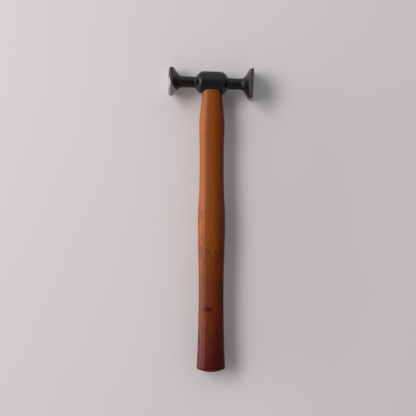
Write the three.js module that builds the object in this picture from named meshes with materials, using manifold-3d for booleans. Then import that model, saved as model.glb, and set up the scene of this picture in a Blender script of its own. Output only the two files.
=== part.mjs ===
// A double-faced planishing hammer, lying on its side.
//
// A forged steel head has a round bell face at -X and a square bell face at +X, joined by thin necks
// to a barrel. A shaped wooden handle passes through the barrel's oval eye and is spread there by one
// wooden wedge and two steel cross wedges.
//
// Millimetres. X runs along the head, +Y points from the handle to the head and Z is up. The square
// bell's lowest side lies on Z = 0, and the origin is under the middle of the whole hammer. The handle
// hangs a little off square, its butt towards the square face, as hand-fitted handles do.

import * as THREE from "three";
import { mergeVertices } from "three/addons/utils/BufferGeometryUtils.js";
import Module from "manifold-3d";

const wasm = await Module();
wasm.setup();

// ---- Driving dimensions -------------------------------------------------------------------------

const GAP = 0.3; // between touching pieces

// Head, as distances along X from the middle of the eye and radii about the head's axis.
const FACE_WIDTH = 29.4; // across the square face, and the round face's diameter
const ROUND_FACE_X = 43.8; // crown of the round face
const SQUARE_FACE_X = 41.1; // square face
const CROWN_HEIGHT = 0.6; // how far the round face is domed
const RIM_ROUND = 2.4; // rounding of the round face's rim
const ROUND_RIM_X = 39.6; // where the polished rim ends and the forged bell starts
const ROUND_BELL_X = 39.0; // where the round bell reaches its full radius
const SQUARE_BELL_X = 38.9; // where the square bell reaches the square's corners
const CORNER_ROUND = 1.2; // rounding of the square's four long corners
const NECK_RADIUS = 5.65;
const ROUND_NECK_X = 30.0; // where the round bell starts to flare
const ROUND_FLARE_X = 33.1; // and its curve turns about here
const SQUARE_NECK_X = 29.0; // where the square bell starts to flare
const SQUARE_FLARE_X = 33.4; // and its curve turns about here
const NECK_INNER_X = 17.2; // where the neck meets the barrel's shoulder
const SHOULDER_FOOT_X = 16.2; // the fillet between neck and shoulder turns about here
const SHOULDER_X = 15.2; // the shoulder's slope starts here, at this radius
const SHOULDER_RADIUS = 6.9;
const SHOULDER_TOP_X = 12.2; // the rounding between shoulder and barrel turns about here
const BARREL_X = 10.4; // half length of the barrel's full diameter
const BARREL_RADIUS = 11.15;

// Eye and tenon: an oval through the barrel, along Y.
const EYE_LONG = 19; // along X
const EYE_SHORT = 12.6; // along Z
const TENON_PROUD = 0.4; // the tenon stands this far out of the barrel

// Handle, as distances from the head's axis towards the butt.
const HANDLE_LENGTH = 288.7;
const HANDLE_SKEW = THREE.MathUtils.degToRad(2.15); // off square, turning +X towards +Y
const HANDLE_FLATNESS = 0.88; // thickness along Z as a share of the width along X
const SECTION_POWER = 3; // of the handle's section, where 2 is an ellipse and more is squarer
const TENON_ROOT = 14; // the tenon runs this far into the handle's body
const BUTT_ROUND = 1.7; // rounding of the butt's edge
const BUTT_DOME = 3.0; // height of the butt's domed end
// Swells and waists down the handle: distance, half width.
const HANDLE_STATIONS = [
  [0, 10.0],
  [12, 10.1],
  [24, 11.2],
  [40, 12.65],
  [62, 12.2],
  [86, 12.05],
  [110, 12.5],
  [128, 13.45],
  [146, 13.65],
  [168, 13.15],
  [190, 12.65],
  [212, 12.45],
  [248, 12.9],
  [268, 13.5],
  [285.5, 14.25],
];

// Wedges, driven into the tenon's end along -Y.
const WOOD_WEDGE = { width: 15, thick: 2.4, tip: 0.8, depth: 15 }; // width along X
const STEEL_WEDGE = { width: 7.4, thick: 1.7, tip: 0.6, depth: 10 }; // width along Z
const STEEL_WEDGE_X = 4.4; // each side of the eye's middle

// Steps round and along the curved pieces.
const ROUND_STEPS = 40;
const CURVE_STEPS = 5;
const CORNER_STEPS = 4;
const HANDLE_STEPS = 30;
const EYE_STEPS = 32;

// ---- Values worked out from them ----------------------------------------------------------------

const FACE_RADIUS = FACE_WIDTH / 2;
const CORNER_RADIUS = FACE_RADIUS * Math.SQRT2;
const TENON_END_RADIUS = BARREL_RADIUS + TENON_PROUD;

// ---- Solids -------------------------------------------------------------------------------------

/** A three.js geometry as a solid that can be cut and joined. */
function solid(geometry) {
  const bare = geometry.clone();
  bare.deleteAttribute("normal");
  bare.deleteAttribute("uv");
  const merged = mergeVertices(bare, 1e-4);
  const mesh = new wasm.Mesh({
    numProp: 3,
    vertProperties: merged.attributes.position.array,
    triVerts: new Uint32Array(merged.index.array),
  });
  return new wasm.Manifold(mesh);
}

/** A solid as a named three.js mesh. */
function piece(name, body, look) {
  const raw = body.getMesh();
  const geometry = new THREE.BufferGeometry();
  geometry.setAttribute("position", new THREE.BufferAttribute(raw.vertProperties, 3));
  geometry.setIndex(new THREE.BufferAttribute(raw.triVerts, 1));
  const flat = geometry.toNonIndexed();
  flat.computeVertexNormals();
  const mesh = new THREE.Mesh(flat, new THREE.MeshStandardMaterial(look));
  mesh.name = name;
  return mesh;
}

/** A round solid about X. The profile's points are (x, radius), from -X to +X. */
function turnedAboutX(profile) {
  const points = profile.map(([x, radius]) => new THREE.Vector2(radius, x));
  return solid(new THREE.LatheGeometry(points, ROUND_STEPS).rotateZ(-Math.PI / 2));
}

/** A plain round bar about X. */
function barAboutX(radius, length) {
  return solid(new THREE.CylinderGeometry(radius, radius, length, ROUND_STEPS).rotateZ(Math.PI / 2));
}

/** Points of the curve that leaves start towards turn and arrives at end, each [x, radius]. */
function bend(start, turn, end) {
  const curve = new THREE.QuadraticBezierCurve(
    new THREE.Vector2(...start),
    new THREE.Vector2(...turn),
    new THREE.Vector2(...end),
  );
  return curve.getPoints(CURVE_STEPS).map((p) => [p.x, p.y]);
}

/** A quarter arc that rounds an edge, from the end face at `end` to the side of that radius at `side`. */
function edgeRound(end, side, radius) {
  const points = [];
  for (let i = 0; i <= CURVE_STEPS; i += 1) {
    const angle = (Math.PI / 2) * (i / CURVE_STEPS);
    const along = side + (end - side) * Math.cos(angle);
    points.push([along, radius - Math.abs(end - side) * (1 - Math.sin(angle))]);
  }
  return points;
}

/** The middle of a face whose dome stands `height` above its rim: the crown and the point half way out. */
function dome(crown, height, rimRadius) {
  return [
    [crown, 0],
    [crown - height / 4, rimRadius / 2],
  ];
}

// ---- Head ---------------------------------------------------------------------------------------

/** Half of the barrel with its shoulder, from the neck inwards; side is -1 or +1. */
function barrelHalf(side) {
  return [
    ...bend(
      [side * NECK_INNER_X, NECK_RADIUS],
      [side * SHOULDER_FOOT_X, NECK_RADIUS],
      [side * SHOULDER_X, SHOULDER_RADIUS],
    ),
    ...bend(
      [side * SHOULDER_X, SHOULDER_RADIUS],
      [side * SHOULDER_TOP_X, BARREL_RADIUS],
      [side * BARREL_X, BARREL_RADIUS],
    ).slice(1),
  ];
}

/** The domed round face, its rounded rim and its flare, from the crown to the neck. */
function roundBell() {
  const faceEdge = -ROUND_FACE_X + CROWN_HEIGHT;
  return [
    ...dome(-ROUND_FACE_X, -CROWN_HEIGHT, FACE_RADIUS - RIM_ROUND),
    ...edgeRound(faceEdge, faceEdge + RIM_ROUND, FACE_RADIUS),
    [-ROUND_RIM_X, FACE_RADIUS],
    ...bend(
      [-ROUND_BELL_X, FACE_RADIUS],
      [-ROUND_FLARE_X, NECK_RADIUS],
      [-ROUND_NECK_X, NECK_RADIUS],
    ),
  ];
}

/** The trumpet behind the square face, before its sides are cut flat. */
function squareBell() {
  return [
    ...bend(
      [SQUARE_NECK_X, NECK_RADIUS],
      [SQUARE_FLARE_X, NECK_RADIUS],
      [SQUARE_BELL_X, CORNER_RADIUS],
    ),
    [SQUARE_FACE_X, CORNER_RADIUS],
    [SQUARE_FACE_X, 0],
  ];
}

/** A bar about X with a square section and rounded long corners, which gives the bell its flat sides. */
function squareBar() {
  const half = FACE_RADIUS;
  const flat = half - CORNER_ROUND;
  const outline = new THREE.Shape();
  outline.moveTo(-flat, -half);
  outline.lineTo(flat, -half);
  outline.absarc(flat, -flat, CORNER_ROUND, -Math.PI / 2, 0);
  outline.lineTo(half, flat);
  outline.absarc(flat, flat, CORNER_ROUND, 0, Math.PI / 2);
  outline.lineTo(-flat, half);
  outline.absarc(-flat, flat, CORNER_ROUND, Math.PI / 2, Math.PI);
  outline.lineTo(-half, -flat);
  outline.absarc(-flat, -flat, CORNER_ROUND, Math.PI, 1.5 * Math.PI);
  const length = 2 * ROUND_FACE_X;
  const bar = new THREE.ExtrudeGeometry(outline, {
    depth: length,
    bevelEnabled: false,
    curveSegments: CORNER_STEPS,
  });
  return solid(bar.rotateY(Math.PI / 2).translate(-length / 2, 0, 0));
}

/** An oval bar along Y from y = low to y = high. */
function ovalBar(long, short, low, high) {
  const bar = new THREE.CylinderGeometry(long / 2, long / 2, high - low, EYE_STEPS);
  return solid(bar.scale(1, 1, short / long).translate(0, (low + high) / 2, 0));
}

function headBody() {
  const outline = [
    ...roundBell(),
    ...barrelHalf(-1),
    ...barrelHalf(1).reverse(),
    ...squareBell(),
  ];
  const eye = ovalBar(EYE_LONG, EYE_SHORT, -FACE_RADIUS, FACE_RADIUS);
  return turnedAboutX(outline).intersect(squareBar()).subtract(eye);
}

// ---- Handle and wedges --------------------------------------------------------------------------

/** Half width of the handle at a distance from the head's axis, on a smooth curve through its stations. */
function handleWidth(distance) {
  const last = HANDLE_STATIONS.length - 1;
  const next = HANDLE_STATIONS.findIndex(([station]) => station > distance);
  const i = next < 0 ? last - 1 : Math.max(0, next - 1);
  const [before, from, to, after] = [i - 1, i, i + 1, i + 2].map(
    (n) => HANDLE_STATIONS[Math.min(last, Math.max(0, n))],
  );
  const t = (distance - from[0]) / (to[0] - from[0]);
  const t2 = t * t;
  const t3 = t2 * t;
  const slopeFrom = (to[1] - before[1]) / 2;
  const slopeTo = (after[1] - from[1]) / 2;
  return (
    (2 * t3 - 3 * t2 + 1) * from[1] +
    (t3 - 2 * t2 + t) * slopeFrom +
    (3 * t2 - 2 * t3) * to[1] +
    (t3 - t2) * slopeTo
  );
}

/** Turns a lathed bar's round section about Y into the handle's flatter and squarer one. */
function squared(geometry) {
  const position = geometry.getAttribute("position");
  const bulge = (share) => Math.sign(share) * Math.abs(share) ** (2 / SECTION_POWER);
  for (let i = 0; i < position.count; i += 1) {
    const radius = Math.hypot(position.getX(i), position.getZ(i)) || 1;
    const across = radius * bulge(position.getX(i) / radius);
    const up = radius * bulge(position.getZ(i) / radius) * HANDLE_FLATNESS;
    position.setXYZ(i, across, position.getY(i), up);
  }
  return geometry;
}

/** The handle's whole body, with a domed butt, before the barrel's hollow is cut in its top. */
function handleBar() {
  const buttEdge = HANDLE_LENGTH - BUTT_DOME;
  const sideEnd = buttEdge - BUTT_ROUND;
  const buttWidth = handleWidth(sideEnd);
  const profile = [
    ...dome(HANDLE_LENGTH, BUTT_DOME, buttWidth - BUTT_ROUND),
    ...edgeRound(buttEdge, sideEnd, buttWidth),
  ];
  for (let i = HANDLE_STEPS - 1; i >= 0; i -= 1) {
    const distance = (sideEnd * i) / HANDLE_STEPS;
    profile.push([distance, handleWidth(distance)]);
  }
  profile.push([0, 0]);
  const points = profile.map(([distance, radius]) => new THREE.Vector2(radius, -distance));
  const bar = new THREE.LatheGeometry(points, ROUND_STEPS);
  return solid(squared(bar).rotateZ(HANDLE_SKEW));
}

/** A tapered wedge driven along -Y, its wide end cut to the tenon's end; width is along X. */
function wedgeBody({ width, thick, tip, depth }, spare) {
  const top = FACE_RADIUS;
  const bottom = TENON_END_RADIUS - depth - spare;
  const slope = (thick - tip) / (2 * depth);
  const halfAt = (y) => tip / 2 + spare + slope * (y - bottom);
  const outline = new THREE.Shape();
  outline.moveTo(-halfAt(bottom), bottom);
  outline.lineTo(halfAt(bottom), bottom);
  outline.lineTo(halfAt(top), top);
  outline.lineTo(-halfAt(top), top);
  const full = width + 2 * spare;
  const bar = new THREE.ExtrudeGeometry(outline, { depth: full, bevelEnabled: false });
  return bar.translate(0, 0, -full / 2);
}

function woodWedge(spare) {
  return solid(wedgeBody(WOOD_WEDGE, spare).rotateY(Math.PI / 2));
}

function steelWedge(side, spare) {
  return solid(wedgeBody(STEEL_WEDGE, spare).translate(side * STEEL_WEDGE_X, 0, 0));
}

/** The rounded end that the tenon and all wedges are dressed to. */
function tenonEnd() {
  return barAboutX(TENON_END_RADIUS, 2 * BARREL_X);
}

function handleBody() {
  const tenon = ovalBar(EYE_LONG - 2 * GAP, EYE_SHORT - 2 * GAP, -TENON_ROOT, FACE_RADIUS);
  const dressed = tenon.subtract(
    ovalBar(EYE_LONG, EYE_SHORT, 0, 2 * FACE_RADIUS).subtract(tenonEnd()),
  );
  return handleBar()
    .subtract(barAboutX(BARREL_RADIUS + GAP, 2 * NECK_INNER_X))
    .add(dressed)
    .subtract(woodWedge(GAP))
    .subtract(steelWedge(-1, GAP))
    .subtract(steelWedge(1, GAP));
}

function woodWedgeBody() {
  return woodWedge(0)
    .intersect(tenonEnd())
    .subtract(steelWedge(-1, GAP))
    .subtract(steelWedge(1, GAP));
}

function steelWedgeBody(side) {
  return steelWedge(side, 0).intersect(tenonEnd());
}

// ---- The hammer ---------------------------------------------------------------------------------

const FORGED_STEEL = { color: 0x24242a, roughness: 0.45, metalness: 0.6 };
const LACQUERED_WOOD = { color: 0x9a5424, roughness: 0.25, metalness: 0 };
const WEDGE_WOOD = { color: 0xc9a26a, roughness: 0.6, metalness: 0 };
const WEDGE_STEEL = { color: 0x8a8a8c, roughness: 0.4, metalness: 0.9 };

const group = new THREE.Group();
group.add(piece("head", headBody(), FORGED_STEEL));
group.add(piece("handle", handleBody(), LACQUERED_WOOD));
group.add(piece("wooden_wedge", woodWedgeBody(), WEDGE_WOOD));
group.add(piece("steel_wedge_left", steelWedgeBody(-1), WEDGE_STEEL));
group.add(piece("steel_wedge_right", steelWedgeBody(1), WEDGE_STEEL));

// The pieces are made about the middle of the eye, and then the hammer is laid on Z = 0.
const box = new THREE.Box3().setFromObject(group, true);
const middle = box.getCenter(new THREE.Vector3());
group.position.set(-middle.x, -middle.y, -box.min.z);

export default group;
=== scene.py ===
"""A double-faced planishing hammer lying on its side on a pale table.

The head is black forged steel with one round and one square bell face of bare ground steel. The handle
is lacquered beech, orange-brown near the head and dark red at the butt. Shapes are worked out in
millimetres about the middle of the eye, and placed in metres in the frame.
"""

import math

import bpy
from mathutils import Matrix, Vector, noise


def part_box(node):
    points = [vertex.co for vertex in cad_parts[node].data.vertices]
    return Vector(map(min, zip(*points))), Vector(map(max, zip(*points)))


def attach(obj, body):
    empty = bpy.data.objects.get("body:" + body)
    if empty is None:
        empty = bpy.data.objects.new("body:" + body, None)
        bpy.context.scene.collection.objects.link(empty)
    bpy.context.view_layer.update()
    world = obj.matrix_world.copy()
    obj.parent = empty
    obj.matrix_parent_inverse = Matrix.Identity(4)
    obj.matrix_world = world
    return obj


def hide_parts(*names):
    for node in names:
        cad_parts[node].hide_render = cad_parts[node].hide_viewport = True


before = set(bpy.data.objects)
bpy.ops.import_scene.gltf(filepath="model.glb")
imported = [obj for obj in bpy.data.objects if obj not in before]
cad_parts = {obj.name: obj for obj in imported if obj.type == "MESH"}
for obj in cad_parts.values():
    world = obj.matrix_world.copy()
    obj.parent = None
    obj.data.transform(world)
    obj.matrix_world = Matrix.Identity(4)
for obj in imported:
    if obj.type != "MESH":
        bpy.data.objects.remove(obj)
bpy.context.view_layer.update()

# ---- Driving dimensions, in millimetres -----------------------------------------------------------

MM = 0.001

# Head, as distances along X from the middle of the eye and radii about the head's axis.
FACE_RADIUS = 14.7  # the round face's radius, and half the square face's side
ROUND_FACE_X = 43.8
SQUARE_FACE_X = 41.1
CROWN_HEIGHT = 0.6
RIM_ROUND = 2.4
ROUND_RIM_X = 40.15
ROUND_BELL_X = 39.0
SQUARE_BELL_X = 38.9
CORNER_ROUND = 1.2
EDGE_ROUND = 0.3
GROOVE_WIDTH = 1.1
GROOVE_DEPTH = 0.9
NECK_RADIUS = 5.65
ROUND_NECK_X = 30.0
ROUND_FLARE_X = 33.1
SQUARE_NECK_X = 29.0
SQUARE_FLARE_X = 33.4
NECK_INNER_X = 17.2
SHOULDER_FOOT_X = 16.2
SHOULDER_X = 15.2
SHOULDER_RADIUS = 6.9
SHOULDER_TOP_X = 12.2
BARREL_X = 10.4
BARREL_RADIUS = 11.15
FORGED_SWELL = 0.035  # height of the low waves left in the forged surfaces
FORGED_PITCH = 0.22  # waves to a millimetre

# The patch ground bright on the round bell lies beyond a slanting plane.
PATCH_NORMAL = Vector((0.891, 0.416, 0.18))
PATCH_DISTANCE = 34.3  # from the middle of the eye, against the normal

# Eye and tenon, an oval bar that runs along Y and is widest along X.
EYE_LONG = 19.0
EYE_SHORT = 12.6
EYE_ROUND = 0.45
FIT_GAP = 0.06
TENON_PROUD = 0.36
TENON_EDGE = 0.3

# Handle, as distances from the head's axis towards the butt.
HANDLE_LENGTH = 288.6
HANDLE_SKEW = math.radians(2.15)
HANDLE_FLATNESS = 0.88
SECTION_POWER = 3.0  # 2 is an ellipse, more is squarer
SHOULDER_EDGE = 0.45  # the rounded edge where the handle meets the barrel
BUTT_ROUND = 1.7
BUTT_DOME = 3.0
GLOSS_END = 284.5  # the lacquer's gloss fades out from here
DULL_START = 286.5  # to here
HANDLE_STATIONS = [
    (0, 10.0),
    (12, 10.1),
    (24, 11.2),
    (40, 12.65),
    (62, 12.2),
    (86, 12.05),
    (110, 12.5),
    (128, 13.45),
    (146, 13.65),
    (168, 13.15),
    (190, 12.65),
    (212, 12.45),
    (248, 12.9),
    (268, 13.5),
    (285.5, 14.25),
]
HANDLE_WAVES = 0.006  # height of the low waves in the handle's sides, as a share of its width
WAVES_MIDDLE = 150.0
WAVES_REACH = 140.0

# A dark knot on the handle's upper side.
KNOT_ACROSS = -2.9
KNOT_DISTANCE = 225.5  # from the head's axis
KNOT_HALF_WIDTH = 5.8
KNOT_HALF_LENGTH = 2.4

# Wedges in the tenon's end.
WOOD_WEDGE = {"width": 15.0, "thick": 2.4, "tip": 0.8, "depth": 15.0}
STEEL_WEDGE = {"width": 7.4, "thick": 1.7, "tip": 0.6, "depth": 10.0}
STEEL_WEDGE_X = 4.4
WEDGE_EDGE = 0.15
SLOT_GAP = 0.08  # round a wedge
SLOT_SPARE_DEPTH = 0.3  # below a wedge's tip
SLOT_TOP = 1.5  # how far a slot's cutter stands out of the barrel

# Steps round and along the pieces.
HEAD_SIDES = 192
HANDLE_SIDES = 144
EYE_SIDES = 128

# ---- The frame --------------------------------------------------------------------------------------

head_low, head_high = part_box("head")
middle_y = (head_low.y + head_high.y) / 2
middle_z = (head_low.z + head_high.z) / 2
EYE = Vector((head_low.x + ROUND_FACE_X * MM, middle_y, middle_z))

# ---- Mesh helpers -----------------------------------------------------------------------------------


def curve(start, turn, end, steps):
    """The points of a curve that leaves start towards turn and arrives at end, without start itself."""
    points = []
    for i in range(1, steps + 1):
        t = i / steps
        weights = ((1 - t) ** 2, 2 * t * (1 - t), t * t)
        points.append(
            tuple(sum(w * p[k] for w, p in zip(weights, (start, turn, end))) for k in range(2))
        )
    return points


def line(start, end, steps):
    """Evenly spaced points from start to end, without start itself."""
    return [tuple(a + (b - a) * i / steps for a, b in zip(start, end)) for i in range(1, steps + 1)]


def ringed_mesh(name, rings, regions, first, last):
    """A closed mesh through equal rings of points, with a point at each end.

    regions[i] is the material index of the band before ring i, and regions[-1] that of the last fan.
    """
    count = len(rings[0])
    points = [p for ring in rings for p in ring] + [first, last]
    start, end = len(points) - 2, len(points) - 1
    faces, indices = [], []
    for k in range(count):
        faces.append((start, (k + 1) % count, k))
        indices.append(regions[0])
    for i in range(1, len(rings)):
        for k in range(count):
            a, b = (i - 1) * count + k, (i - 1) * count + (k + 1) % count
            faces.append((a, b, b + count, a + count))
            indices.append(regions[i])
    base = (len(rings) - 1) * count
    for k in range(count):
        faces.append((base + k, base + (k + 1) % count, end))
        indices.append(regions[-1])
    mesh = bpy.data.meshes.new(name)
    mesh.from_pydata([EYE + Vector(p) * MM for p in points], [], faces)
    mesh.polygons.foreach_set("material_index", indices)
    mesh.validate()
    mesh.update()
    return mesh


def add_object(name, mesh):
    piece = bpy.data.objects.new(name, mesh)
    bpy.context.scene.collection.objects.link(piece)
    return piece


def cut(piece, *tools):
    """Cuts the tools out of the piece and removes them."""
    for tool in tools:
        modifier = piece.modifiers.new("cut", "BOOLEAN")
        modifier.operation = "DIFFERENCE"
        modifier.solver = "EXACT"
        modifier.object = tool
    bpy.context.view_layer.update()
    shown = piece.evaluated_get(bpy.context.evaluated_depsgraph_get())
    piece.data = bpy.data.meshes.new_from_object(shown)
    piece.modifiers.clear()
    for tool in tools:
        bpy.data.objects.remove(tool)


def smooth(mesh, sharp_degrees):
    mesh.shade_smooth()
    mesh.set_sharp_from_angle(angle=math.radians(sharp_degrees))


def millimetres(point):
    """A point of the frame, in millimetres from the middle of the eye."""
    return (Vector(point) - EYE) / MM


def store(mesh, name, value_at):
    """Writes value_at(point in millimetres) to a float attribute of every vertex."""
    attribute = mesh.attributes.new(name, "FLOAT", "POINT")
    attribute.data.foreach_set("value", [value_at(millimetres(v.co)) for v in mesh.vertices])


def near(distance, reach):
    """1 at no distance, falling smoothly to 0 at reach."""
    t = max(0.0, 1 - abs(distance) / reach)
    return t * t * (3 - 2 * t)


# ---- Head -------------------------------------------------------------------------------------------

BLACK, FACE, GROUND = 0, 1, 2


def head_angles():
    """Angles round the head's axis, closest together at the square's corners."""
    crowding = 0.15
    turns = [2 * math.pi * k / HEAD_SIDES for k in range(HEAD_SIDES)]
    return [t + crowding * math.sin(4 * t) for t in turns]


def square_radius(angle):
    """Distance from the axis to the side of the rounded square in that direction."""
    c, s = sorted((abs(math.cos(angle)), abs(math.sin(angle))), reverse=True)
    corner = FACE_RADIUS - CORNER_ROUND
    if FACE_RADIUS * s / c <= corner:
        return FACE_RADIUS / c
    along = corner * (c + s)
    return along + math.sqrt(along**2 - 2 * corner**2 + CORNER_ROUND**2)


def round_bell():
    """From the round face's crown to its neck: (x, radius, region)."""
    start_angle = math.asin(2 * CROWN_HEIGHT / FACE_RADIUS)
    inner = FACE_RADIUS - RIM_ROUND * (1 - math.sin(start_angle))
    arc_x = -ROUND_FACE_X + CROWN_HEIGHT + RIM_ROUND * math.cos(start_angle)
    face_steps, rim_steps = 14, 10
    points = []
    for i in range(1, face_steps + 1):
        radius = inner * i / face_steps
        points.append((-ROUND_FACE_X + CROWN_HEIGHT * (radius / inner) ** 2, radius, FACE))
    for i in range(1, rim_steps + 1):
        angle = start_angle + (math.pi / 2 - start_angle) * i / rim_steps
        x = arc_x - RIM_ROUND * math.cos(angle)
        points.append((x, FACE_RADIUS - RIM_ROUND * (1 - math.sin(angle)), FACE))
    groove_end = -ROUND_RIM_X + GROOVE_WIDTH
    slope = GROOVE_WIDTH / 4
    points.append((-ROUND_RIM_X, FACE_RADIUS, FACE))
    points.append((-ROUND_RIM_X + slope, FACE_RADIUS - GROOVE_DEPTH, BLACK))
    points.append((groove_end - slope, FACE_RADIUS - GROOVE_DEPTH, BLACK))
    points.append((groove_end, FACE_RADIUS, BLACK))
    bell = (-ROUND_BELL_X, FACE_RADIUS)
    turn = (-ROUND_FLARE_X, NECK_RADIUS)
    neck = (-ROUND_NECK_X, NECK_RADIUS)
    flare = curve(bell, turn, neck, 28)
    points += [(x, r, BLACK) for x, r in curve((groove_end, FACE_RADIUS), bell, flare[0], 4)]
    points += [(x, r, BLACK) for x, r in flare[1:]]
    return points


def barrel():
    """From one neck over the barrel to the other."""
    points = line((-ROUND_NECK_X, NECK_RADIUS), (-NECK_INNER_X, NECK_RADIUS), 12)
    foot = (SHOULDER_FOOT_X, NECK_RADIUS)
    slope = (SHOULDER_X, SHOULDER_RADIUS)
    top = (SHOULDER_TOP_X, BARREL_RADIUS)
    half = curve((NECK_INNER_X, NECK_RADIUS), foot, slope, 8)
    half += curve(slope, top, (BARREL_X, BARREL_RADIUS), 14)
    points += [(-x, r) for x, r in half]
    points += line((-BARREL_X, BARREL_RADIUS), (BARREL_X, BARREL_RADIUS), 32)
    points += list(reversed(half))[1:]
    points.append((NECK_INNER_X, NECK_RADIUS))
    points += line((NECK_INNER_X, NECK_RADIUS), (SQUARE_NECK_X, NECK_RADIUS), 12)
    return [(x, r, BLACK) for x, r in points]


def square_bell(angle):
    """From the neck to the square face's middle, in the direction of that angle."""
    side = square_radius(angle)
    neck, turn = (SQUARE_NECK_X, NECK_RADIUS), (SQUARE_FLARE_X, NECK_RADIUS)
    reach = FACE_RADIUS * math.sqrt(2) - NECK_RADIUS
    share = math.sqrt((side - NECK_RADIUS) / reach)
    # The flare's curve, stopped where it meets the flat side.
    meet = curve(neck, turn, (SQUARE_BELL_X, NECK_RADIUS + reach), 1000)[round(1000 * share) - 1]
    part_turn = (neck[0] + (turn[0] - neck[0]) * share, NECK_RADIUS)
    flare = curve(neck, part_turn, (meet[0], side), 30)
    flat_start = (meet[0] + EDGE_ROUND, side)
    flat_end = (SQUARE_FACE_X - EDGE_ROUND, side)
    face_edge = (SQUARE_FACE_X, side - EDGE_ROUND)
    points = [(x, r, BLACK) for x, r in flare[:-1]]
    points += [(x, r, BLACK) for x, r in curve(flare[-2], flare[-1], flat_start, 4)]
    points += [(x, r, GROUND) for x, r in line(flat_start, flat_end, 10)]
    points += [(x, r, GROUND) for x, r in curve(flat_end, (SQUARE_FACE_X, side), face_edge, 4)]
    points += [(x, r, FACE) for x, r in line(face_edge, (SQUARE_FACE_X, 0), 16)[:-1]]
    return points


def head_mesh():
    angles = head_angles()
    shared = round_bell() + barrel()
    slices = [shared + square_bell(angle) for angle in angles]
    regions = [region for _, _, region in slices[0]]
    rings = []
    for i, region in enumerate(regions):
        ring = []
        for angle, outline in zip(angles, slices):
            x, radius, _ = outline[i]
            c, s = math.cos(angle), math.sin(angle)
            if region == BLACK and radius < BARREL_RADIUS + 1:
                wave = noise.noise(Vector((x, radius * c, radius * s)) * FORGED_PITCH)
                radius += FORGED_SWELL * wave
            ring.append((x, radius * c, radius * s))
        rings.append(ring)
    return ringed_mesh("head", rings, [*regions, FACE], (-ROUND_FACE_X, 0, 0), (SQUARE_FACE_X, 0, 0))


def oval(long, short, k, sides):
    angle = 2 * math.pi * k / sides
    return long / 2 * math.cos(angle), short / 2 * math.sin(angle)


def eye_cutter():
    """A bar of the eye's oval that widens in a small round where it leaves the barrel."""
    depths = [(0.0, 0.0)]
    for i in range(7):
        angle = math.radians(12.5 * i)
        depths.append((EYE_ROUND * (1 - math.cos(angle)), EYE_ROUND * (math.sin(angle) - 1)))
    depths.append((EYE_ROUND * 1.3, EYE_ROUND * 0.2))
    depths.append((EYE_ROUND * 1.4, EYE_ROUND * 6))
    rings = []
    for side in (-1, 1):
        half = []
        for step, (widen, above) in enumerate(depths):
            ring = []
            for k in range(EYE_SIDES):
                x, z = oval(EYE_LONG + 2 * widen, EYE_SHORT + 2 * widen, k, EYE_SIDES)
                rim = math.sqrt(BARREL_RADIUS**2 - z * z) + above
                ring.append((x, side * (rim if step else 0.0), z))
            half.append(ring)
        rings += half[:0:-1] if side < 0 else half
    low, high = (0, rings[0][0][1] - 1, 0), (0, rings[-1][0][1] + 1, 0)
    return add_object("eye_cutter", ringed_mesh("eye_cutter", rings, [0] * (len(rings) + 1), low, high))


def head_wear(point):
    """How much an edge of the head stands out to be rubbed bright, from 0 to 1."""
    radius = math.hypot(point.y, point.z)
    bell_edge = near(point.x + ROUND_BELL_X, 0.9) * near(radius - FACE_RADIUS, 0.8)
    shoulder = 0.5 * near(abs(point.x) - (BARREL_X + 1), 1.6)
    side = max(abs(point.y), abs(point.z))
    on_square = near(side - FACE_RADIUS, 0.6) if point.x > SQUARE_FLARE_X else 0.0
    corner = on_square * near(min(abs(point.y), abs(point.z)) - FACE_RADIUS, 1.2)
    face_edge = near(point.x - SQUARE_FACE_X, 1.6)
    long_x, short_z = point.x / (EYE_LONG / 2), point.z / (EYE_SHORT / 2)
    eye = near(math.hypot(long_x, short_z) - 1.04, 0.08) if abs(point.x) < BARREL_X else 0.0
    return max(bell_edge, shoulder, face_edge, corner, 0.6 * eye)


def head_hollow(point):
    """1 in the groove behind the round face's rim, 0 elsewhere."""
    in_groove = abs(point.x + ROUND_RIM_X - GROOVE_WIDTH / 2) < GROOVE_WIDTH / 2
    below = math.hypot(point.y, point.z) < FACE_RADIUS - GROOVE_DEPTH / 2
    return 1.0 if in_groove and below else 0.0


# ---- Handle and wedges ------------------------------------------------------------------------------


def handle_width(distance):
    """Half width of the handle, on a smooth curve through its stations."""
    last = len(HANDLE_STATIONS) - 1
    i = max(n for n in range(last) if HANDLE_STATIONS[n][0] <= max(0, distance))
    around = [HANDLE_STATIONS[min(last, max(0, n))] for n in (i - 1, i, i + 1, i + 2)]
    before, start, end, after = around
    t = (distance - start[0]) / (end[0] - start[0])
    slope_start, slope_end = (end[1] - before[1]) / 2, (after[1] - start[1]) / 2
    return (
        (2 * t**3 - 3 * t**2 + 1) * start[1]
        + (t**3 - 2 * t**2 + t) * slope_start
        + (3 * t**2 - 2 * t**3) * end[1]
        + (t**3 - t**2) * slope_end
    )


def section(angle, half_width):
    """A point of the handle's rounded section: across (towards +X) and up."""
    c, s = math.cos(angle), math.sin(angle)
    across = math.copysign(abs(c) ** (2 / SECTION_POWER), c)
    up = math.copysign(abs(s) ** (2 / SECTION_POWER), s)
    return half_width * across, half_width * HANDLE_FLATNESS * up


def skewed(across, distance, up):
    """A point of the handle, turned about the eye by its skew."""
    c, s = math.cos(HANDLE_SKEW), math.sin(HANDLE_SKEW)
    return (across * c + distance * s, across * s - distance * c, up)


def on_barrel(across, up, radius):
    """How far down the handle a line at (across, up) leaves a bar of that radius on the head's axis."""
    depth = math.sqrt(max(0.0, radius**2 - up**2))
    return (depth + across * math.sin(HANDLE_SKEW)) / math.cos(HANDLE_SKEW)


LACQUER, END_GRAIN = 0, 1


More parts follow.
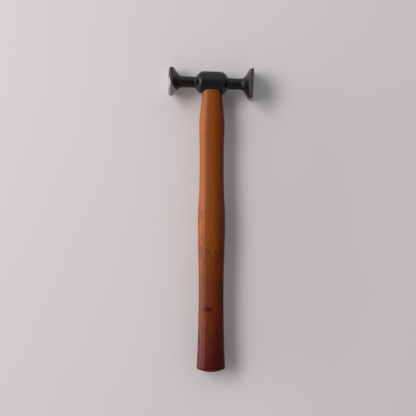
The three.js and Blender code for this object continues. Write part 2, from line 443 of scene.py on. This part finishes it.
def handle_mesh():
    angles = [2 * math.pi * k / HANDLE_SIDES for k in range(HANDLE_SIDES)]
    cope_radius = BARREL_RADIUS + FIT_GAP
    tenon_end = BARREL_RADIUS + TENON_PROUD
    tenon_long, tenon_short = EYE_LONG - 2 * FIT_GAP, EYE_SHORT - 2 * FIT_GAP
    tenon = [oval(tenon_long, tenon_short, k, HANDLE_SIDES) for k in range(HANDLE_SIDES)]
    rings, regions = [], []

    # The tenon's end is dressed to the barrel's curve and its edge is slightly rounded.
    for share in (0.12, 0.25, 0.4, 0.55, 0.7, 0.85):
        inner = [(x * share, z * share) for x, z in tenon]
        rings.append([(x, math.sqrt(tenon_end**2 - z**2), z) for x, z in inner])
        regions.append(END_GRAIN)
    for i in range(5):
        angle = math.pi / 2 * i / 4
        inset = TENON_EDGE * (1 - math.sin(angle))
        drop = TENON_EDGE * (1 - math.cos(angle))
        ring = []
        for x, z in tenon:
            size = math.hypot(x, z)
            x, z = x * (1 - inset / size), z * (1 - inset / size)
            ring.append((x, math.sqrt(tenon_end**2 - z * z) - drop, z))
        rings.append(ring)
        regions.append(END_GRAIN)
    # Down through the eye to the hollow that fits the barrel.
    for i in range(1, 5):
        ring = []
        for x, z in tenon:
            top = math.sqrt(tenon_end**2 - z * z) - TENON_EDGE
            foot = -math.sqrt(cope_radius**2 - z * z)
            ring.append((x, top + (foot - top) * i / 4, z))
        rings.append(ring)
        regions.append(END_GRAIN)
    # Out along the hollow to its rounded edge.
    edge = []
    for angle in angles:
        across, up = section(angle, handle_width(0))
        for _ in range(6):
            distance = on_barrel(across, up, cope_radius)
            across, up = section(angle, handle_width(distance))
        edge.append((across, up, distance))
    for share in (0.3, 0.6, 0.85):
        ring = []
        for (x, z), (across, up, _) in zip(tenon, edge):
            size = math.hypot(across, up)
            inner = (size - SHOULDER_EDGE) / size
            u, v = x + (across * inner - x) * share, z + (up * inner - z) * share
            ring.append(skewed(u, on_barrel(u, v, cope_radius), v))
        rings.append(ring)
        regions.append(LACQUER)
    for i in range(5):
        angle = math.pi / 2 * i / 4
        inset = SHOULDER_EDGE * (1 - math.sin(angle))
        drop = SHOULDER_EDGE * (1 - math.cos(angle))
        ring = []
        for across, up, _ in edge:
            size = math.hypot(across, up)
            u, v = across * (1 - inset / size), up * (1 - inset / size)
            ring.append(skewed(u, on_barrel(u, v, cope_radius) + drop, v))
        rings.append(ring)
        regions.append(LACQUER)
    # Down the handle, with rings that leave the hollow's edge and turn square to the handle.
    side_end = HANDLE_LENGTH - BUTT_DOME - BUTT_ROUND
    even_from, even_steps = 26.0, 150
    for i in range(1, 13):
        share = i / 12
        ring = []
        for angle, (_, _, top) in zip(angles, edge):
            top += SHOULDER_EDGE
            distance = top + (even_from - top) * share
            ring.append(skewed(*reorder(section(angle, handle_width(distance)), distance)))
        rings.append(ring)
        regions.append(LACQUER)
    for i in range(1, even_steps + 1):
        distance = even_from + (side_end - even_from) * i / even_steps
        ring = []
        for angle in angles:
            across, up = section(angle, handle_width(distance))
            lump = noise.noise(Vector((across * 0.05, distance * 0.03, up * 0.05 + 9)))
            swell = 1 + HANDLE_WAVES * lump * near(distance - WAVES_MIDDLE, WAVES_REACH)
            ring.append(skewed(across * swell, distance, up * swell))
        rings.append(ring)
        regions.append(LACQUER)
    # The butt's rounded edge and domed end.
    butt_width = handle_width(side_end)
    for i in range(1, 11):
        angle = math.pi / 2 * i / 10
        shrink = 1 - BUTT_ROUND * (1 - math.cos(angle)) / butt_width
        distance = side_end + BUTT_ROUND * math.sin(angle)
        rings.append([skewed(*reorder(section(a, butt_width * shrink), distance)) for a in angles])
        regions.append(LACQUER)
    inner = butt_width - BUTT_ROUND
    for share in (0.9, 0.75, 0.6, 0.45, 0.3, 0.15):
        distance = HANDLE_LENGTH - BUTT_DOME * share**2
        rings.append([skewed(*reorder(section(a, inner * share), distance)) for a in angles])
        regions.append(LACQUER)
    first, last = (0, tenon_end, 0), skewed(0, HANDLE_LENGTH, 0)
    return ringed_mesh("handle", rings, [*regions, LACQUER], first, last)


def reorder(across_up, distance):
    across, up = across_up
    return across, distance, up


def wedge_mesh(name, size, across_x, offset, grow, top_radius):
    """A tapered wedge driven along -Y with its wide side along X or, if across_x is False, along Z."""
    long_steps, thick_steps, down_steps = 12, 4, 10
    outline = []
    width, thick = size["width"] / 2 + grow, size["thick"] / 2 + grow
    corners = [(-1, -1), (1, -1), (1, 1), (-1, 1)]
    for (ax, ay), (bx, by) in zip(corners, corners[1:] + corners[:1]):
        steps = long_steps if ax != bx else thick_steps
        outline += [(ax + (bx - ax) * i / steps, ay + (by - ay) * i / steps) for i in range(steps)]
    taper = 1 - size["tip"] / size["thick"]
    edge = 0.0 if grow else WEDGE_EDGE
    # Each level is how far down it lies, its share of the full section and how far it is inset.
    levels = [(0.0, 0.5, 0.0), (0.0, 0.8, 0.0), (0.0, 1.0, edge)]
    for i in range(down_steps + 1):
        levels.append((edge + (size["depth"] - edge) * i / down_steps, 1.0, 0.0))
    rings = []
    for drop, share, inset in reversed(levels):
        narrow = 1 - taper * drop / size["depth"]
        ring = []
        for u, v in outline:
            a, b = u * (width * share - inset), v * (thick * narrow * share - inset)
            x, z = (a + offset, b) if across_x else (b + offset, a)
            top = top_radius if grow else math.sqrt(top_radius**2 - z * z)
            ring.append((x, top - drop, z))
        rings.append(ring)
    beyond_tip, beyond_top = (1, 1) if grow else (0.2, 0)
    low = (offset, top_radius - size["depth"] - beyond_tip, 0)
    high = (offset, top_radius + beyond_top, 0)
    return ringed_mesh(name, rings, [0] * (len(rings) + 1), low, high)


def wedge_cutter(size, across_x, offset):
    """The slot for a wedge, open at the tenon's end."""
    deeper = {**size, "depth": size["depth"] + SLOT_SPARE_DEPTH}
    top = BARREL_RADIUS + SLOT_TOP
    return add_object("slot", wedge_mesh("slot", deeper, across_x, offset, SLOT_GAP, top))


# ---- Materials --------------------------------------------------------------------------------------


class Shader:
    """A material's nodes, with short calls for the ones used here."""

    def __init__(self, name):
        self.material = bpy.data.materials.new(name)
        self.material.use_nodes = True
        self.nodes = self.material.node_tree.nodes
        self.links = self.material.node_tree.links
        self.surface = self.nodes["Principled BSDF"]
        self.place = self.nodes.new("ShaderNodeTexCoord").outputs["Object"]

    def put(self, socket, value):
        if isinstance(value, bpy.types.NodeSocket):
            self.links.new(value, socket)
        else:
            socket.default_value = value

    def set(self, **values):
        """Sets the shader's sockets; Base_Color stands for Base Color."""
        for name, value in values.items():
            self.put(self.surface.inputs[name.replace("_", " ")], value)

    def math(self, operation, a, b=0.0):
        node = self.nodes.new("ShaderNodeMath")
        node.operation = operation
        self.put(node.inputs[0], a)
        self.put(node.inputs[1], b)
        return node.outputs[0]

    def axes(self, vector=None):
        node = self.nodes.new("ShaderNodeSeparateXYZ")
        self.put(node.inputs[0], vector or self.place)
        return node.outputs["X"], node.outputs["Y"], node.outputs["Z"]

    def vector(self, x, y, z):
        node = self.nodes.new("ShaderNodeCombineXYZ")
        for socket, value in zip(node.inputs, (x, y, z)):
            self.put(socket, value)
        return node.outputs[0]

    def mapped(self, scale, vector=None):
        node = self.nodes.new("ShaderNodeMapping")
        self.put(node.inputs["Vector"], vector or self.place)
        node.inputs["Scale"].default_value = scale
        return node.outputs[0]

    def noise(self, vector, scale, detail=3.0, roughness=0.5, distortion=0.0):
        node = self.nodes.new("ShaderNodeTexNoise")
        self.put(node.inputs["Vector"], vector)
        node.inputs["Scale"].default_value = scale
        node.inputs["Detail"].default_value = detail
        node.inputs["Roughness"].default_value = roughness
        node.inputs["Distortion"].default_value = distortion
        return node.outputs["Fac"]

    def cells(self, vector, scale):
        """Distance from the middle of the nearest cell."""
        node = self.nodes.new("ShaderNodeTexVoronoi")
        self.put(node.inputs["Vector"], vector)
        node.inputs["Scale"].default_value = scale
        return node.outputs["Distance"]

    def fade(self, value, low, high, start=0.0, end=1.0):
        """Smoothly from start to end as value goes from low to high."""
        node = self.nodes.new("ShaderNodeMapRange")
        node.interpolation_type = "SMOOTHSTEP"
        self.put(node.inputs["Value"], value)
        for name, number in (("From Min", low), ("From Max", high), ("To Min", start), ("To Max", end)):
            node.inputs[name].default_value = number
        return node.outputs["Result"]

    def ramp(self, value, stops):
        node = self.nodes.new("ShaderNodeValToRGB")
        self.put(node.inputs["Fac"], value)
        elements = node.color_ramp.elements
        while len(elements) < len(stops):
            elements.new(0.5)
        for element, (position, colour) in zip(elements, stops):
            element.position = position
            element.color = (*colour, 1.0)
        return node.outputs["Color"]

    def mix(self, share, a, b, blend="MIX"):
        node = self.nodes.new("ShaderNodeMix")
        node.data_type = "RGBA"
        node.blend_type = blend
        self.put(node.inputs[0], share)
        for socket, value in ((node.inputs[6], a), (node.inputs[7], b)):
            self.put(socket, (*value, 1.0) if isinstance(value, tuple) else value)
        return node.outputs[2]

    def attribute(self, name):
        node = self.nodes.new("ShaderNodeAttribute")
        node.attribute_name = name
        return node.outputs["Fac"]

    def bump(self, height, distance, strength=1.0, below=None):
        node = self.nodes.new("ShaderNodeBump")
        node.inputs["Strength"].default_value = strength
        node.inputs["Distance"].default_value = distance
        self.put(node.inputs["Height"], height)
        if below is not None:
            self.put(node.inputs["Normal"], below)
        return node.outputs[0]


def bare_patch(shader):
    """1 where the round bell was ground bright, beyond its slanting plane; 0 elsewhere."""
    x, y, z = shader.axes()
    level = PATCH_NORMAL.dot(EYE) - PATCH_DISTANCE * MM
    total = shader.math("MULTIPLY", x, PATCH_NORMAL.x)
    total = shader.math("ADD", total, shader.math("MULTIPLY", y, PATCH_NORMAL.y))
    total = shader.math("ADD", total, shader.math("MULTIPLY", z, PATCH_NORMAL.z))
    ragged = shader.math("MULTIPLY", shader.noise(shader.place, 900, 3), 0.5 * MM)
    total = shader.math("ADD", total, ragged)
    return shader.fade(total, level + 0.35 * MM, level + 0.05 * MM)


def black_steel():
    """Blackened forged steel: satin, faintly pitted and turned, rubbed bright on its edges."""
    s = Shader("black_steel")
    wide = s.noise(s.place, 90, 4)
    fine = s.noise(s.place, 2600, 3, 0.6)
    scale = s.cells(s.place, 700)
    wear = s.attribute("wear")
    rubbed = s.math("ADD", s.math("MULTIPLY", wear, 0.75), s.math("MULTIPLY", fine, 0.55))
    worn = s.math("MULTIPLY", s.fade(rubbed, 0.72, 0.95), 0.7)
    hollow = s.attribute("hollow")
    open_face = s.math("SUBTRACT", 1.0, hollow)
    bare = s.math("MAXIMUM", s.math("MULTIPLY", worn, open_face), bare_patch(s))
    black = s.mix(wide, (0.003, 0.0025, 0.005), (0.006, 0.005, 0.0085))
    lines = s.noise(s.mapped((400, 3000, 3000)), 1.0, 3)
    steel = s.mix(lines, (0.32, 0.33, 0.34), (0.42, 0.43, 0.44))
    rough_black = s.fade(wide, 0.3, 0.7, 0.24, 0.34)
    rough = s.math("SUBTRACT", rough_black, s.math("MULTIPLY", bare, 0.06))
    s.set(Base_Color=s.mix(bare, black, steel), Metallic=s.math("MULTIPLY", bare, 0.25))
    # In the groove the reflection is turned nearly off: painted shade in the recess.
    s.set(Specular_IOR_Level=s.fade(hollow, 0.0, 1.0, 0.4, 0.02))
    s.set(Roughness=s.math("ADD", rough, s.math("MULTIPLY", fine, 0.06)))
    pits = s.fade(scale, 0.0, 0.28)
    low = s.bump(s.math("ADD", wide, s.math("MULTIPLY", pits, 0.2)), 0.12 * MM, 0.6)
    turned = s.noise(s.mapped((3600, 260, 260)), 1.0, 2)
    low = s.bump(turned, 0.05 * MM, 0.7, low)
    s.set(Normal=s.bump(fine, 0.02 * MM, 0.6, low))
    return s.material


def face_steel():
    """The bare striking faces, with fine turning marks, and the round one's duller rim."""
    s = Shader("face_steel")
    bright = bare_patch(s)
    x, y, z = s.axes()
    y0, z0 = s.math("SUBTRACT", y, EYE.y), s.math("SUBTRACT", z, EYE.z)
    radius = s.math("SQRT", s.math("ADD", s.math("MULTIPLY", y0, y0), s.math("MULTIPLY", z0, z0)))
    rings = s.noise(s.vector(radius, x, 0.0), 9000, 2)
    clouds = s.noise(s.place, 120, 4)
    on_square = s.fade(x, 0.0, 0.01)
    dull_to, clean_from = 1.6, 2.4  # in from the round face's edge
    inside_rim = s.fade(radius, (FACE_RADIUS - dull_to) * MM, (FACE_RADIUS - clean_from) * MM)
    polished = s.math("MAXIMUM", s.math("MAXIMUM", bright, on_square), inside_rim)
    dull = s.mix(clouds, (0.075, 0.068, 0.064), (0.12, 0.112, 0.106))
    clean = s.mix(clouds, (0.40, 0.385, 0.39), (0.50, 0.48, 0.49))
    s.set(Base_Color=s.mix(polished, dull, clean), Metallic=1.0)
    rough = s.fade(clouds, 0.3, 0.7, 0.52, 0.62)
    s.set(Roughness=s.math("ADD", rough, s.math("MULTIPLY", rings, 0.08)))
    s.set(Normal=s.bump(rings, 0.006 * MM, 0.6))
    return s.material


def ground_steel():
    """The square bell's flat sides: brown-grey steel with grinding lines along the sides."""
    s = Shader("ground_steel")
    lines = s.noise(s.mapped((9000, 500, 500)), 1.0, 3, 0.6)
    clouds = s.noise(s.place, 160, 4)
    wear = s.attribute("wear")
    tone = s.mix(clouds, (0.105, 0.088, 0.078), (0.155, 0.138, 0.126))
    tone = s.mix(s.math("MULTIPLY", lines, 0.35), tone, (0.25, 0.235, 0.22))
    edge = s.math("MULTIPLY", s.fade(wear, 0.75, 1.0), 0.35)
    s.set(Base_Color=s.mix(edge, tone, (0.5, 0.48, 0.46)), Metallic=0.9)
    s.set(Roughness=s.math("ADD", s.math("MULTIPLY", lines, 0.16), 0.3))
    s.set(Normal=s.bump(lines, 0.012 * MM, 0.7))
    return s.material


def wood_place(s):
    """The handle's own coordinates in millimetres: across, distance from the eye, up."""
    node = s.nodes.new("ShaderNodeMapping")
    node.vector_type = "TEXTURE"
    s.put(node.inputs["Vector"], s.place)
    node.inputs["Location"].default_value = EYE
    node.inputs["Rotation"].default_value = (0, 0, HANDLE_SKEW)
    node.inputs["Scale"].default_value = (MM, -MM, MM)
    return node.outputs[0]


def lacquered_beech():
    """Beech under a glossy stain, from orange-brown at the head to dark red at the butt.

    The -X side is lightened by a painted highlight. The +X side is darkened by painted shade, tinted
    redder like a deeper stain, and its gloss is turned down as painted shade too. The butt's end is dull.
    """
    s = Shader("lacquered_beech")
    place = wood_place(s)
    across, along = s.axes(place)[:2]
    share = s.math("DIVIDE", along, HANDLE_LENGTH)
    drift = s.noise(s.mapped((0.05, 0.012, 0.05), vector=place), 1.0, 2)
    drift = s.math("MULTIPLY", s.math("SUBTRACT", drift, 0.5), 0.16)
    stain = s.ramp(
        s.math("ADD", share, drift),
        [
            (0.0, (0.30, 0.072, 0.006)),
            (0.35, (0.30, 0.072, 0.007)),
            (0.52, (0.30, 0.075, 0.009)),
            (0.68, (0.195, 0.038, 0.005)),
            (0.86, (0.145, 0.022, 0.006)),
            (0.96, (0.105, 0.0055, 0.007)),
            (1.0, (0.09, 0.004, 0.006)),
        ],
    )
    streaks = s.noise(s.mapped((1.6, 0.03, 1.6), vector=place), 1.0, 4, 0.6)
    pores = s.noise(s.mapped((7.0, 0.25, 7.0), vector=place), 1.0, 2)
    wood = s.mix(s.fade(streaks, 0.35, 0.7, 0.0, 0.45), stain, (0.62, 0.58, 0.55), "MULTIPLY")
    wood = s.mix(s.fade(pores, 0.55, 0.75, 0.0, 0.3), wood, (0.45, 0.4, 0.38), "MULTIPLY")
    # Painted highlight: the -X side, which faces the light, is multiplied brighter.
    wood = s.mix(s.fade(across, -10.0, -5.5, 1.0, 0.0), wood, (1.45, 1.5, 1.7), "MULTIPLY")
    # Painted shade: the +X side, away from the light, is darkened, with a redder tint of deeper stain.
    wood = s.mix(s.fade(across, -4.0, 12.0, 0.0, 0.9), wood, (0.42, 0.24, 0.18), "MULTIPLY")
    wood = s.mix(s.math("MULTIPLY", flecks(s, place, along), 0.7), wood, (0.34, 0.17, 0.12), "MULTIPLY")
    wood = s.mix(s.math("MULTIPLY", knot(s, place), 0.95), wood, (0.07, 0.004, 0.003))
    s.set(Base_Color=wood, Roughness=0.5, Specular_IOR_Level=0.0)
    # Painted shade: the coat's gloss is turned down towards +X to keep that side dark.
    gloss = s.fade(across, 0.0, 9.0, 0.65, 0.4)
    s.set(Coat_Weight=s.math("MULTIPLY", gloss, s.fade(along, GLOSS_END, DULL_START, 1.0, 0.1)))
    s.set(Coat_Roughness=0.33, Coat_IOR=1.45)
    orange_peel = s.noise(place, 0.45, 2)
    grain = s.math("MULTIPLY", streaks, 0.6)
    s.set(Normal=s.bump(s.math("ADD", orange_peel, grain), 0.12 * MM, 0.55))
    s.set(Coat_Normal=s.bump(orange_peel, 0.12 * MM, 0.5))
    return s.material


def flecks(s, place, along):
    """Beech's short dark ray flecks, in patches, most of them on the lower half of the handle."""
    marks = s.noise(s.mapped((0.8, 0.5, 0.8), vector=place), 1.0, 3, 0.6, 1.2)
    patches = s.noise(s.mapped((0.12, 0.05, 0.12), vector=place), 1.0, 2)
    shape = s.fade(s.math("ADD", marks, s.math("MULTIPLY", patches, 0.6)), 0.84, 0.94)
    zone = s.math("MULTIPLY", s.fade(along, 90, 140), s.fade(along, 285, 255))
    return s.math("MULTIPLY", shape, s.math("ADD", s.math("MULTIPLY", zone, 0.85), 0.15))


def knot(s, place):
    """A small dark knot on the upper side, three quarters of the way down."""
    across, along, up = s.axes(place)
    wobble = s.math("SUBTRACT", s.noise(place, 0.35, 2), 0.5)
    x = s.math("ADD", across, s.math("ADD", -KNOT_ACROSS, wobble))
    x = s.math("DIVIDE", x, KNOT_HALF_WIDTH)
    y = s.math("ADD", s.math("SUBTRACT", along, KNOT_DISTANCE), s.math("MULTIPLY", wobble, 4.0))
    y = s.math("DIVIDE", y, KNOT_HALF_LENGTH)
    spread = s.math("SQRT", s.math("ADD", s.math("MULTIPLY", x, x), s.math("MULTIPLY", y, y)))
    return s.math("MULTIPLY", s.fade(spread, 1.15, 0.75), s.fade(up, 0.0, 4.0))


def end_grain():
    """The tenon's sawn end: end grain under a thin coat of the head's black."""
    s = Shader("end_grain")
    place = wood_place(s)
    rings = s.noise(s.mapped((0.25, 0.02, 2.2), vector=place), 1.0, 2)
    pores = s.cells(s.mapped((6, 0.5, 6), vector=place), 1.0)
    wood = s.mix(rings, (0.010, 0.008, 0.008), (0.030, 0.021, 0.017))
    wood = s.mix(s.fade(pores, 0.25, 0.05, 0.0, 0.6), wood, (0.09, 0.05, 0.03))
    s.set(Base_Color=wood, Roughness=s.fade(rings, 0.3, 0.7, 0.55, 0.75))
    s.set(Normal=s.bump(pores, 0.06 * MM, 0.6))
    return s.material


def wedge_wood():
    """The wooden wedge's end: pale hardwood where the black coat is rubbed off it."""
    s = Shader("wedge_wood")
    place = wood_place(s)
    rings = s.noise(s.mapped((3.0, 0.02, 0.6), vector=place), 1.0, 3)
    rubbed = s.fade(s.noise(place, 1.1, 3), 0.5, 0.62)
    wood = s.mix(rings, (0.30, 0.18, 0.08), (0.42, 0.28, 0.14))
    s.set(Base_Color=s.mix(rubbed, (0.02, 0.016, 0.015), wood))
    s.set(Roughness=s.fade(rings, 0.3, 0.7, 0.6, 0.8))
    s.set(Normal=s.bump(rings, 0.08 * MM, 0.6))
    return s.material


def wedge_steel():
    """The steel wedges: dull grey, with a little rust in the scratches."""
    s = Shader("wedge_steel")
    marks = s.noise(s.place, 1500, 4, 0.6)
    clouds = s.noise(s.place, 350, 3)
    steel = s.mix(s.fade(clouds, 0.5, 0.7), (0.42, 0.41, 0.40), (0.25, 0.16, 0.10))
    s.set(Base_Color=steel, Metallic=0.85, Roughness=s.fade(marks, 0.3, 0.7, 0.35, 0.6))
    s.set(Normal=s.bump(marks, 0.04 * MM, 0.6))
    return s.material


# ---- The pieces -------------------------------------------------------------------------------------


def dress(piece, materials, slot, *nodes):
    """Gives a finished piece its materials and body, and hides the imported nodes it stands for; slot is
    not used.
    """
    for material in materials:
        piece.data.materials.append(material)
    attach(piece, "root")
    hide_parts(*nodes)


def build_head():
    piece = add_object("forged_head", head_mesh())
    cut(piece, eye_cutter())
    smooth(piece.data, 36)
    store(piece.data, "wear", head_wear)
    store(piece.data, "hollow", head_hollow)
    dress(piece, [black_steel(), face_steel(), ground_steel()], "black_forged_steel", "head")


def build_handle():
    piece = add_object("beech_handle", handle_mesh())
    cut(
        piece,
        wedge_cutter(WOOD_WEDGE, True, 0.0),
        wedge_cutter(STEEL_WEDGE, False, -STEEL_WEDGE_X),
        wedge_cutter(STEEL_WEDGE, False, STEEL_WEDGE_X),
    )
    smooth(piece.data, 40)
    dress(piece, [lacquered_beech(), end_grain()], "lacquered_wood", "handle")


def build_wedges():
    top = BARREL_RADIUS + TENON_PROUD
    wood = add_object("tenon_wedge", wedge_mesh("tenon_wedge", WOOD_WEDGE, True, 0.0, 0.0, top))
    cut(
        wood,
        wedge_cutter(STEEL_WEDGE, False, -STEEL_WEDGE_X),
        wedge_cutter(STEEL_WEDGE, False, STEEL_WEDGE_X),
    )
    smooth(wood.data, 30)
    dress(wood, [wedge_wood()], "wedge_wood", "wooden_wedge")
    look = wedge_steel()
    for side, word in ((-1, "left"), (1, "right")):
        name = f"cross_wedge_{word}"
        mesh = wedge_mesh(name, STEEL_WEDGE, False, side * STEEL_WEDGE_X, 0.0, top)
        steel = add_object(name, mesh)
        smooth(mesh, 30)
        dress(steel, [look], "wedge_steel", f"steel_wedge_{word}")


# ---- Stage ------------------------------------------------------------------------------------------


def build_floor():
    size, steps = 3.0, 8
    points = [
        ((i / steps - 0.5) * size, (j / steps - 0.5) * size, 0.0)
        for j in range(steps + 1)
        for i in range(steps + 1)
    ]
    faces = []
    for j in range(steps):
        for i in range(steps):
            a = j * (steps + 1) + i
            faces.append((a, a + 1, a + steps + 2, a + steps + 1))
    mesh = bpy.data.meshes.new("table")
    mesh.from_pydata(points, [], faces)
    floor = add_object("table", mesh)
    s = Shader("table")
    clouds = s.noise(s.place, 3, 2)
    s.set(Base_Color=s.mix(clouds, (0.70, 0.68, 0.685), (0.74, 0.72, 0.725)), Roughness=0.55)
    mesh.materials.append(s.material)


def area_light(name, position, target, width, height, power, colour):
    data = bpy.data.lights.new(name, "AREA")
    data.shape = "RECTANGLE"
    data.size, data.size_y = width, height
    data.energy = power
    data.color = colour
    lamp = bpy.data.objects.new(name, data)
    bpy.context.scene.collection.objects.link(lamp)
    lamp.location = position
    lamp.rotation_euler = (Vector(target) - Vector(position)).to_track_quat("-Z", "Y").to_euler()


def build_world():
    """A grey room: brighter beyond the head and a little to the left, dimmer low down and overhead."""
    world = bpy.data.worlds.new("room")
    world.use_nodes = True
    nodes, links = world.node_tree.nodes, world.node_tree.links
    axes = nodes.new("ShaderNodeSeparateXYZ")
    links.new(nodes.new("ShaderNodeTexCoord").outputs["Generated"], axes.inputs[0])
    strength = None
    fades = (
        ("X", -0.8, 0.8, 0.75, 0.68),
        ("Y", -0.7, 0.8, 0.45, 1.05),
        ("Z", 0.0, 0.5, 0.45, 1.15),
        ("Z", 0.62, 0.94, 1.0, 0.1),
    )
    for axis, low, high, start, end in fades:
        fade = nodes.new("ShaderNodeMapRange")
        fade.interpolation_type = "SMOOTHSTEP"
        links.new(axes.outputs[axis], fade.inputs["Value"])
        for name, number in (("From Min", low), ("From Max", high), ("To Min", start), ("To Max", end)):
            fade.inputs[name].default_value = number
        if strength is None:
            strength = fade.outputs[0]
            continue
        product = nodes.new("ShaderNodeMath")
        product.operation = "MULTIPLY"
        links.new(strength, product.inputs[0])
        links.new(fade.outputs[0], product.inputs[1])
        strength = product.outputs[0]
    background = nodes["Background"]
    background.inputs["Color"].default_value = (1.0, 0.985, 1.0, 1.0)
    links.new(strength, background.inputs["Strength"])
    bpy.context.scene.world = world


def build_lights():
    area_light("window", (-1.5, 0.62, 1.7), (0, 0.05, 0), 1.6, 0.8, 28.5, (1.0, 0.98, 0.97))
    area_light("low_window", (-2.6, 0.0, 0.42), (0, 0, 0.02), 3.0, 0.35, 30.0, (1.0, 0.97, 0.96))
    area_light("lamp", (-0.9, -0.15, 1.6), (0, 0.1, 0), 0.16, 0.16, 2.0, (1.0, 0.98, 1.0))


def build_camera():
    """Straight above the table, with the hammer's head at the top of the view."""
    lens_distance = 1.018  # above the head's axis
    view_width = 0.416  # how much is seen from side to side at the height of that axis
    tilt = math.radians(2.4)  # of the head in the view
    eye_right, eye_up = 0.0040, 0.12496  # the eye's place from the middle of the view
    data = bpy.data.cameras.new("camera")
    data.sensor_width = 36.0
    data.lens = data.sensor_width * lens_distance / view_width
    data.clip_start, data.clip_end = 0.05, 20.0
    camera = bpy.data.objects.new("camera", data)
    bpy.context.scene.collection.objects.link(camera)
    right = Vector((math.cos(tilt), math.sin(tilt), 0))
    up = Vector((-math.sin(tilt), math.cos(tilt), 0))
    place = EYE - right * eye_right - up * eye_up
    place.z = EYE.z + lens_distance
    camera.location = place
    camera.rotation_euler = Matrix((right, up, Vector((0, 0, 1)))).transposed().to_euler()
    bpy.context.scene.camera = camera


build_head()
build_handle()
build_wedges()
build_floor()
build_world()
build_lights()
build_camera()
bpy.context.scene.view_settings.view_transform = "Standard"
